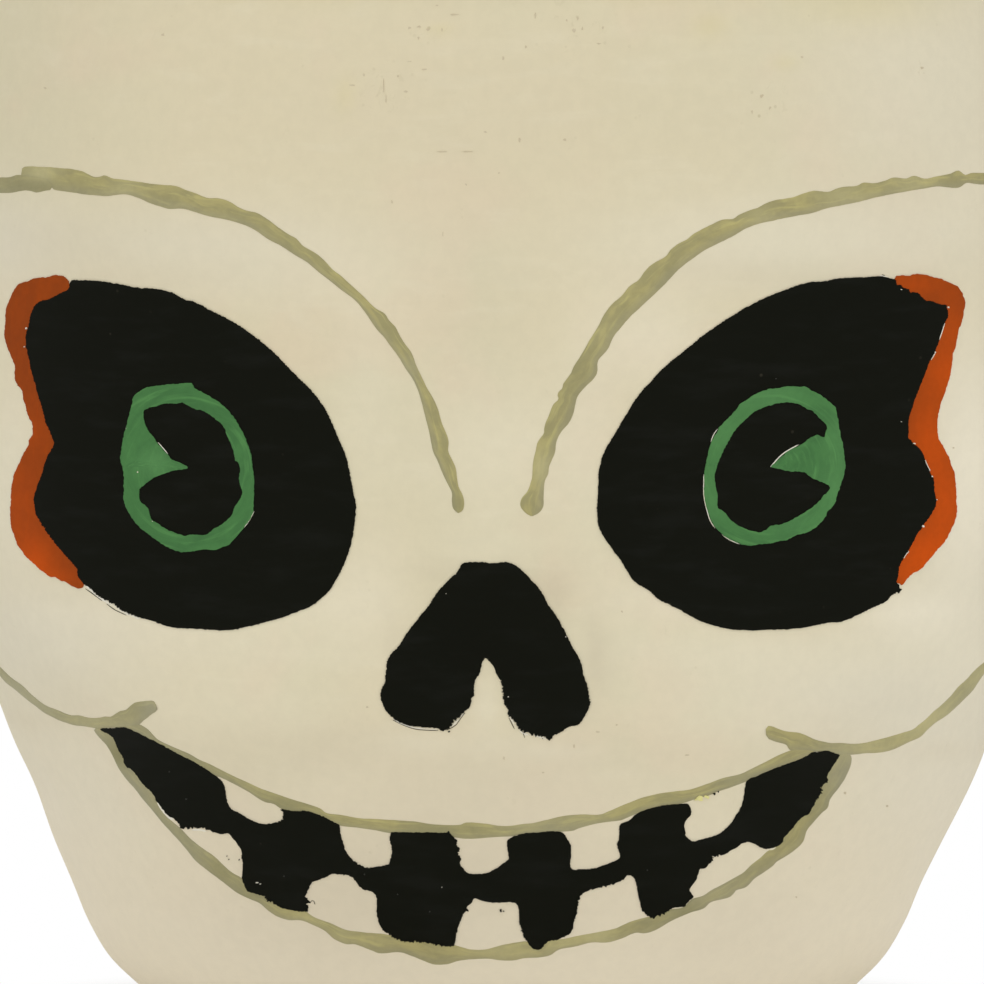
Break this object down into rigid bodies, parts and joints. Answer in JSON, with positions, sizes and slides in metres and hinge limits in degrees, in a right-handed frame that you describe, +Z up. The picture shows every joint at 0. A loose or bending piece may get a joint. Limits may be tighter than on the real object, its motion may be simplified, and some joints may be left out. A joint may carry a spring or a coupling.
{
  "type": "skull-shaped candy bowl",
  "caption": "Open papier-mache candy bowl moulded and hand painted as a grinning skull, with a bound rim and a flat base.",
  "frame": {"origin": "on the ground under the middle of the bowl", "axes": "+Z up, the painted face toward -Y, +X to the right of someone who looks at the face"},
  "size_m": [0.2603, 0.2413, 0.25],
  "materials": {
    "painted_pulp": "matte",
    "painted_paper": "matte",
    "painted_board": "matte",
    "paint_black": "matte",
    "paint_olive": "matte",
    "paint_orange": "matte",
    "paint_green": "matte"
  },
  "bodies": {
    "root": {"face_shell": "painted_pulp", "back_shell": "painted_pulp", "rim_binding": "painted_paper", "floor_disc": "painted_board", "seam_strip_left": "painted_paper", "seam_strip_right": "painted_paper", "left_eye_black": "paint_black", "right_eye_black": "paint_black", "left_eye_orange": "paint_orange", "right_eye_orange": "paint_orange", "left_eye_ring": "paint_green", "right_eye_ring": "paint_green", "nose_black": "paint_black", "mouth_black": "paint_black", "upper_lip_line": "paint_olive", "lower_lip_line": "paint_olive", "left_brow_line": "paint_olive", "right_brow_line": "paint_olive", "left_cheek_line": "paint_olive", "right_cheek_line": "paint_olive"}
  },
  "joints": []
}
